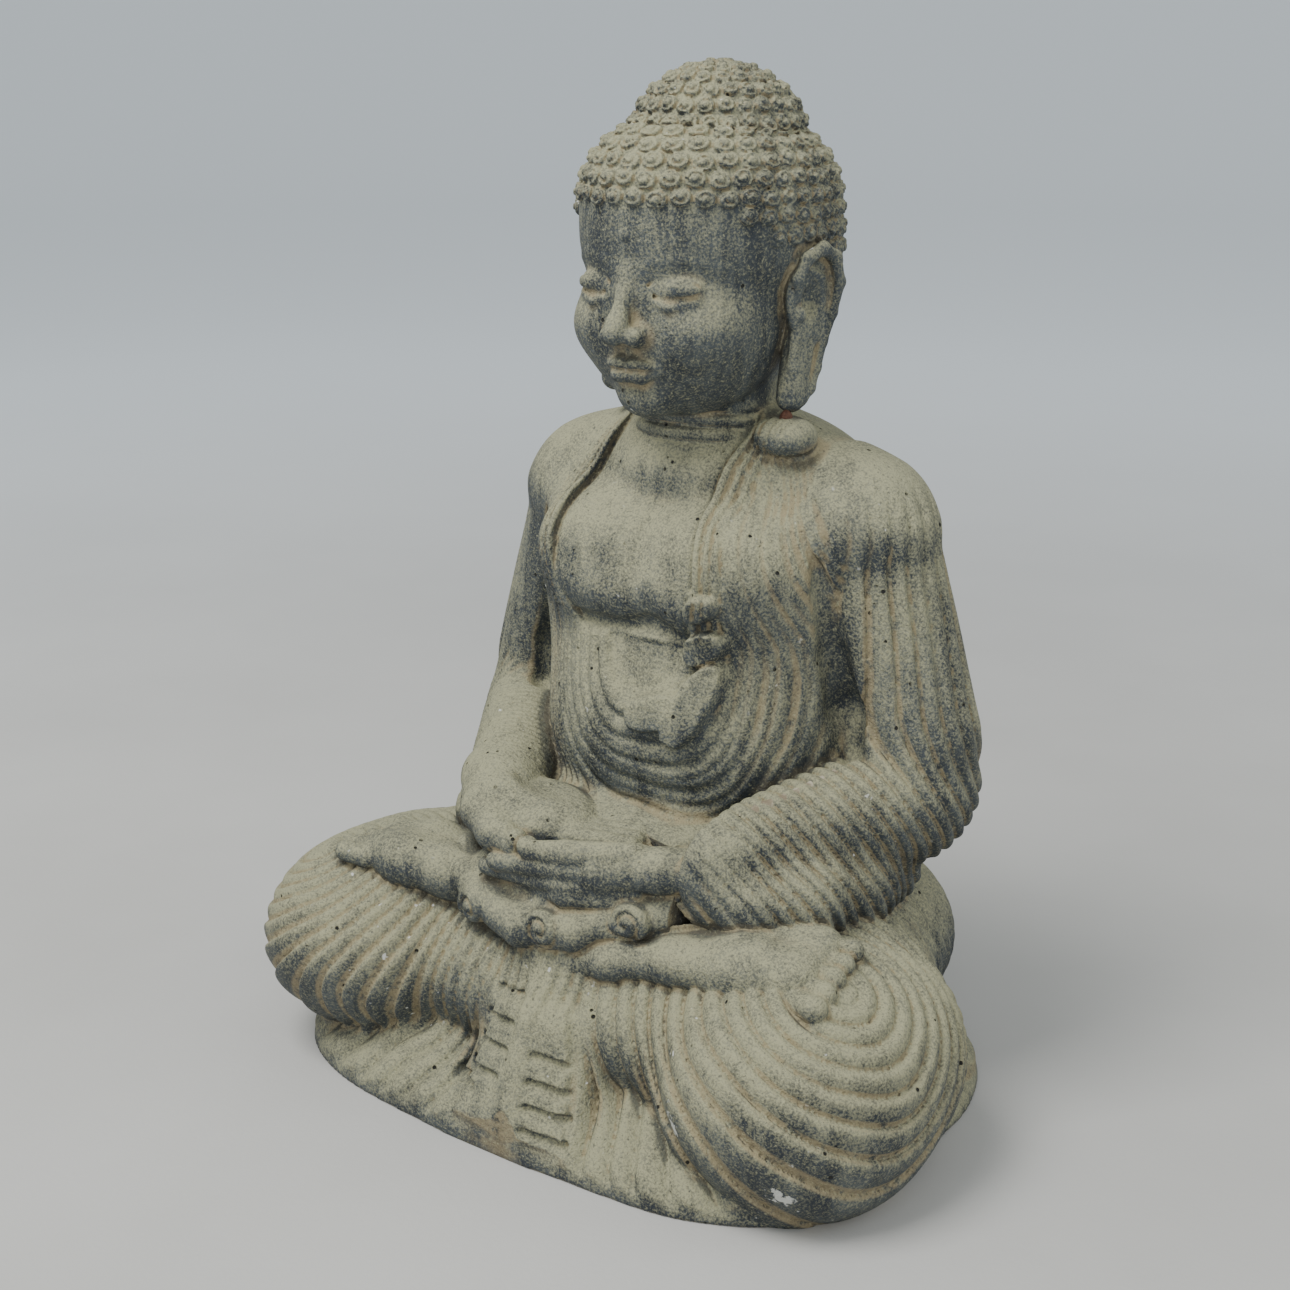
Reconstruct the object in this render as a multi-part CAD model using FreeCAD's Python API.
import FreeCAD
import Part
import math
import os

# Seated meditating figure in cast volcanic stone, built from mortared castings on a steel armature.
# Millimetres. +Z is up, the figure faces -Y, and its own left side is +X.
# The shapes are drawn about the armature's upright (x = 0) and moved at the end, so that the
# origin is the middle of the footprint, on the ground.

Vector = FreeCAD.Vector

# ---- driving dimensions -------------------------------------------------------------------
HEIGHT = 640.0                 # ground to the top of the topknot
SCALE = HEIGHT / 640.0         # every dimension below is for a 640 mm figure
MORTAR_BED = 4.0               # thickness of the mortar under the neck

BASE_HALF_WIDTH = 222.0
BASE_WIDEST_Y = -68.0          # where the base is widest
BASE_FRONT_REACH = 138.0       # from there to the front edge
BASE_REAR_REACH = 190.0        # and to the rear edge
BASE_THICK = 26.0
BASE_SQUARENESS = 2.7          # 2 is an ellipse, more is squarer

LEFT_KNEE = (148.0, -86.0, 74.0)      # centre of each knee's mass; the right one reaches further
RIGHT_KNEE = (-157.0, -101.0, 74.0)
KNEE_RADII = (89.0, 108.0, 71.0)
HIP = (70.0, 26.0, 85.0)
HIP_RADII = (98.0, 98.0, 70.0)
SHIN = (56.0, -95.0, 75.0)
SHIN_RADII = (96.0, 86.0, 60.0)

# torso sections: height, half width, half depth, middle y
TORSO_SECTIONS = (
    (70, 122, 96, 22), (120, 124, 98, 22), (180, 120, 95, 18), (250, 115, 92, 15),
    (310, 122, 92, 14), (350, 118, 82, 17), (383, 98, 64, 20), (405, 70, 50, 18), (420, 50, 40, 12),
)
TORSO_SQUARENESS = 2.15

NECK_SIDE = (38.0, 13.0, 399.0)       # where the slope of each shoulder starts
NECK_SIDE_RADIUS = 27.0
SHOULDER = (100.0, 24.0, 368.0)
ELBOW = (147.0, 28.0, 200.0)
WRIST = (66.0, -122.0, 179.0)
SHOULDER_RADIUS = 45.0
ELBOW_RADIUS = 41.0
FOREARM_RADIUS = 38.0
CUFF_RADIUS = 27.0

HAND_RADII = (20.0, 13.0)      # wrist and knuckles
FOOT_RADII = (23.0, 18.0)      # heel and ball

NECK_RADIUS = 46.0
NECK_SEAT_Z = 397.0
NECK_MIDDLE = (0.0, 10.0)

SPINE_BAR_RADIUS = 6.0
ARM_BAR_RADIUS = 4.0
LAP_BAR_RADIUS = 4.0
SPINE_Y = 12.0
TIE_WIRE_RADIUS = 1.0
TIE_WIRE_SLACK = 0.4           # between a wire ring and the bar that it hoops


# ---- shape helpers ------------------------------------------------------------------------
def mirrored(point, side):
    """The point on the figure's left (side 1) or right (side -1)."""
    return (side * point[0], point[1], point[2])


def ellipsoid(centre, radii, tilt_deg=(0, 0, 0)):
    matrix = FreeCAD.Matrix()
    matrix.scale(*radii)
    shape = Part.makeSphere(1.0).transformGeometry(matrix)
    for axis, angle in zip((Vector(1, 0, 0), Vector(0, 1, 0), Vector(0, 0, 1)), tilt_deg):
        if angle:
            shape.rotate(Vector(0, 0, 0), axis, angle)
    shape.translate(Vector(*centre))
    return shape


def round_cone(start, end, start_radius, end_radius):
    """A tapered limb with a spherical end at each point, turned from one outline."""
    start, end = Vector(*start), Vector(*end)
    along = end - start
    length = along.Length
    lean = math.acos((start_radius - end_radius) / length)
    tangent_x, tangent_y = math.cos(lean), math.sin(lean)
    middle = (math.pi + lean) / 2
    start_top = Vector(start_radius * tangent_x, start_radius * tangent_y, 0)
    end_top = Vector(length + end_radius * tangent_x, end_radius * tangent_y, 0)
    start_tip, end_tip = Vector(-start_radius, 0, 0), Vector(length + end_radius, 0, 0)
    start_middle = Vector(start_radius * math.cos(middle), start_radius * math.sin(middle), 0)
    end_middle = Vector(length + end_radius * math.cos(lean / 2), end_radius * math.sin(lean / 2), 0)
    outline = Part.Wire([
        Part.Arc(start_tip, start_middle, start_top).toShape(),
        Part.makeLine(start_top, end_top),
        Part.Arc(end_top, end_middle, end_tip).toShape(),
        Part.makeLine(end_tip, start_tip),
    ])
    shape = Part.Face(outline).revolve(Vector(0, 0, 0), Vector(1, 0, 0), 360)
    shape.Placement = FreeCAD.Placement(start, FreeCAD.Rotation(Vector(1, 0, 0), along))
    return shape


def superellipse(half_width, front_reach, rear_reach, middle_y, z, squareness, count=24):
    """A closed smooth outline in a level plane."""
    points = []
    for i in range(count):
        angle = 2 * math.pi * i / count
        c, s = math.cos(angle), math.sin(angle)
        reach = rear_reach if s > 0 else front_reach
        points.append(Vector(
            half_width * math.copysign(abs(c) ** (2 / squareness), c),
            middle_y + reach * math.copysign(abs(s) ** (2 / squareness), s),
            z,
        ))
    curve = Part.BSplineCurve()
    curve.interpolate(points, PeriodicFlag=True)
    return Part.Wire([curve.toShape()])


def bent_bar(points, radius, bend_radius):
    """A round bar through the points, with a tangent arc at each bend."""
    points = [Vector(*p) for p in points]
    edges, last = [], points[0]
    for before, corner, after in zip(points, points[1:], points[2:]):
        into, out = (before - corner).normalize(), (after - corner).normalize()
        half = into.getAngle(out) / 2
        setback = bend_radius / math.tan(half)
        start, end = corner + into * setback, corner + out * setback
        bisector = (into + out).normalize()
        middle = corner + bisector * (bend_radius / math.sin(half) - bend_radius)
        edges += [Part.makeLine(last, start), Part.Arc(start, middle, end).toShape()]
        last = end
    edges.append(Part.makeLine(last, points[-1]))
    path = Part.Wire(edges)
    section = Part.Wire([Part.makeCircle(radius, points[0], points[1] - points[0])])
    return path.makePipeShell([section], True, False)


def fuse_all(shapes):
    return shapes[0].multiFuse(list(shapes[1:])).removeSplitter()


def cut_all(shape, tools):
    for tool in tools:
        shape = shape.cut(tool)
    return shape


def largest_solid(shape):
    """The shape's main solid, without the slivers a cut can leave."""
    return max(shape.Solids, key=lambda solid: solid.Volume)


# ---- steel armature -----------------------------------------------------------------------
def make_armature():
    bars = {}
    bars["spine_bar"] = Part.makeCylinder(SPINE_BAR_RADIUS, 520, Vector(0, SPINE_Y, 40))
    for name, side in (("left_arm_bar", 1), ("right_arm_bar", -1)):
        route = [(side * 78, 22, 372), (side * 150, 17, 214), mirrored(WRIST, side)]
        bars[name] = bent_bar(route, ARM_BAR_RADIUS, 30)
    front_y, rear_y = -82.0, SPINE_Y + SPINE_BAR_RADIUS + LAP_BAR_RADIUS + 0.5
    for name, y, half in (("lap_front_bar", front_y, 195), ("lap_rear_bar", rear_y, 120)):
        bars[name] = Part.makeCylinder(LAP_BAR_RADIUS, 2 * half, Vector(-half, y, 84), Vector(1, 0, 0))
    inset, hoop_bend = 36.0, 70.0
    x = BASE_HALF_WIDTH - inset
    front, rear = BASE_WIDEST_Y - BASE_FRONT_REACH + inset, BASE_WIDEST_Y + BASE_REAR_REACH - inset
    hoop = [(6, front), (x, front), (x, rear), (-x, rear), (-x, front), (-6, front)]
    bars["base_hoop_bar"] = bent_bar([(px, py, 13) for px, py in hoop], LAP_BAR_RADIUS, hoop_bend)
    ties = []
    reach = TIE_WIRE_RADIUS + TIE_WIRE_SLACK
    for rise in (-1, 1):
        z = 84 + rise * (LAP_BAR_RADIUS + 3 * TIE_WIRE_RADIUS)
        ties.append(Part.makeTorus(SPINE_BAR_RADIUS + reach, TIE_WIRE_RADIUS, Vector(0, SPINE_Y, z)))
    for x in (-12, 12):
        ties.append(Part.makeTorus(LAP_BAR_RADIUS + reach, TIE_WIRE_RADIUS,
                                   Vector(x, rear_y, 84), Vector(1, 0, 0)))
    bars["tie_wires"] = Part.makeCompound(ties)
    return bars


# ---- castings -----------------------------------------------------------------------------
def make_base():
    outlines = []
    for z, inset in ((0, 0), (BASE_THICK, 9)):
        outlines.append(superellipse(BASE_HALF_WIDTH - inset, BASE_FRONT_REACH - inset,
                                     BASE_REAR_REACH - inset, BASE_WIDEST_Y, z, BASE_SQUARENESS))
    plinth = Part.makeLoft(outlines, True, True)
    apron = round_cone((0, -128, 84), (0, -158, 16), 32, 42)
    below_ground = Part.makeBox(400, 300, 60, Vector(-200, -300, -60))
    return fuse_all([plinth, apron]).cut(below_ground)


def make_leg(side):
    parts = [
        ellipsoid(LEFT_KNEE if side > 0 else RIGHT_KNEE, KNEE_RADII),
        ellipsoid(mirrored(HIP, side), HIP_RADII),
        ellipsoid(mirrored(SHIN, side), SHIN_RADII),
    ]
    other_half = Part.makeBox(400, 600, 400, Vector(0 if side < 0 else -400, -350, -100))
    return fuse_all(parts).cut(other_half)


def make_torso():
    sections = [superellipse(a, b, b, y, z, TORSO_SQUARENESS) for z, a, b, y in TORSO_SECTIONS]
    parts = [Part.makeLoft(sections, True, False)]
    for side in (1, -1):
        parts.append(ellipsoid((side * 46, -32, 337), (58, 42, 44)))
        parts.append(round_cone(mirrored(NECK_SIDE, side), mirrored(SHOULDER, side),
                                NECK_SIDE_RADIUS, SHOULDER_RADIUS - 3))
    neck_seat = Part.makeCylinder(NECK_RADIUS + 2, 60, Vector(*NECK_MIDDLE, NECK_SEAT_Z))
    return fuse_all(parts).cut(neck_seat)


def make_arm(side):
    upper = round_cone(mirrored(SHOULDER, side), mirrored(ELBOW, side), SHOULDER_RADIUS, ELBOW_RADIUS)
    bend = (side * ELBOW[0], ELBOW[1] - 12, ELBOW[2] - 6)
    forearm = round_cone(bend, mirrored(WRIST, side), FOREARM_RADIUS, CUFF_RADIUS)
    return fuse_all([upper, forearm])


def make_foot(side):
    """The sole-up foot that lies on the thigh of the given side."""
    heel, ball = (side * 16, -134, 132), (side * 160, -92, 140)
    sole = round_cone(heel, ball, *FOOT_RADII)
    toes = []
    for i in range(5):
        root = (side * 162, -106 + 8 * i, 142)
        tip = (side * (184 - 2 * i), -108 + 10 * i, 142)
        toes.append(round_cone(root, tip, 8.0 - 0.4 * i, 6.5 - 0.4 * i))
    return fuse_all([sole, *toes])


def make_hand(side):
    """A hand lying palm up in the lap, the right one resting in the left."""
    lift = 14 if side < 0 else 0
    wrist = (side * 70, -126, 170)
    knuckles = (side * 8, -150, 156 + lift)
    palm = round_cone(wrist, knuckles, *HAND_RADII)
    fingers = []
    for i in range(4):
        root = (side * 14, -168 + 11 * i, 154 + lift)
        tip = (side * -(40 - 3 * abs(i - 1)), -166 + 11 * i, 156 + lift)
        fingers.append(round_cone(root, tip, 8.5, 6.0))
    thumb = round_cone((side * 46, -140, 176 + lift / 2), (side * 4, -152, 186), 10, 7)
    return fuse_all([palm, *fingers, thumb])


def make_head():
    parts = [
        ellipsoid((0, 6, 548), (80, 90, 66)),                 # skull and hair
        ellipsoid((0, 14, 592), (55, 59, 48)),                # topknot
        ellipsoid((0, -8, 502), (67, 73, 74)),                # face
        ellipsoid((0, -30, 464), (48, 44, 33)),               # jaw and chin
        round_cone((0, -74, 516), (0, -83, 486), 6, 9),       # nose
        ellipsoid((0, -72, 465), (20, 7, 4)),                 # upper lip
        ellipsoid((0, -71, 457), (15, 7, 5)),                 # lower lip
        Part.makeCylinder(NECK_RADIUS, 80, Vector(*NECK_MIDDLE, NECK_SEAT_Z + MORTAR_BED)),
    ]
    for side in (1, -1):
        parts.append(ellipsoid((side * 27, -67, 509), (15, 9, 8)))       # lowered eyelid
        parts.append(ellipsoid((side * 75, 10, 500), (9, 17, 30)))       # ear
        parts.append(round_cone((side * 74, 4, 480), (side * 71, 0, 438), 9, 10))
    return fuse_all(parts)


def make_beads():
    """Mortar squeezed out along the top of each forearm, where it meets the belly."""
    beads = {}
    for name, side in (("left_sleeve_mortar_bead", 1), ("right_sleeve_mortar_bead", -1)):
        route = [(128, -36, 214), (106, -66, 204), (76, -88, 195), (44, -98, 186)]
        beads[name] = bent_bar([mirrored(p, side) for p in route], 2.5, 20)
    return beads


def build_nodes():
    bars = make_armature()
    steel = [bars[n] for n in bars if n != "tie_wires"] + bars["tie_wires"].Solids
    beads = make_beads()
    castings = {"base_casting": make_base()}
    solid_so_far = [castings["base_casting"]]

    def add(name, shape):
        """The new casting is cut back to the ones already there, so that they meet face to face."""
        castings[name] = largest_solid(cut_all(shape, solid_so_far))
        solid_so_far.append(castings[name])

    for name, side in (("left", 1), ("right", -1)):
        add(name + "_leg_casting", make_leg(side))
    add("torso_casting", make_torso())
    for name, side in (("left", 1), ("right", -1)):
        add(name + "_arm_casting", make_arm(side))
    for name, side in (("left", 1), ("right", -1)):
        add(name + "_hand_casting", make_hand(side))
    for name, side in (("left", 1), ("right", -1)):
        add(name + "_foot_casting", make_foot(side))
    add("head_casting", make_head())
    neck_bed = Part.makeCylinder(NECK_RADIUS + 2, MORTAR_BED, Vector(*NECK_MIDDLE, NECK_SEAT_Z))
    wedge_pebble = Part.makeSphere(3.4, Vector(68, -9, 430))

    nodes = dict(bars)
    nodes["neck_mortar_bed"] = neck_bed.cut(bars["spine_bar"])
    nodes.update(beads)
    nodes["wedge_pebble"] = wedge_pebble
    fillers = steel + list(beads.values()) + [wedge_pebble]
    for name, shape in castings.items():
        touching = [f for f in fillers if shape.BoundBox.intersect(f.BoundBox)]
        nodes[name] = largest_solid(cut_all(shape, touching))
    return nodes


def main():
    nodes = build_nodes()
    whole = Part.makeCompound(list(nodes.values()))
    box = whole.optimalBoundingBox(False, False)
    to_origin = Vector(-(box.XMin + box.XMax) / 2, -(box.YMin + box.YMax) / 2, -box.ZMin)
    os.makedirs("parts", exist_ok=True)
    for name, shape in nodes.items():
        shape = shape.copy()
        shape.translate(to_origin)
        if SCALE != 1.0:
            shape.scale(SCALE)
        shape.exportStep(f"parts/{name}.step")
        print(f"{name:28s} solids {len(shape.Solids)} valid {shape.isValid()} litres {shape.Volume / 1e6:.4f}")
    print("origin moved by", to_origin, "size", box.XLength, box.YLength, box.ZLength)


main()
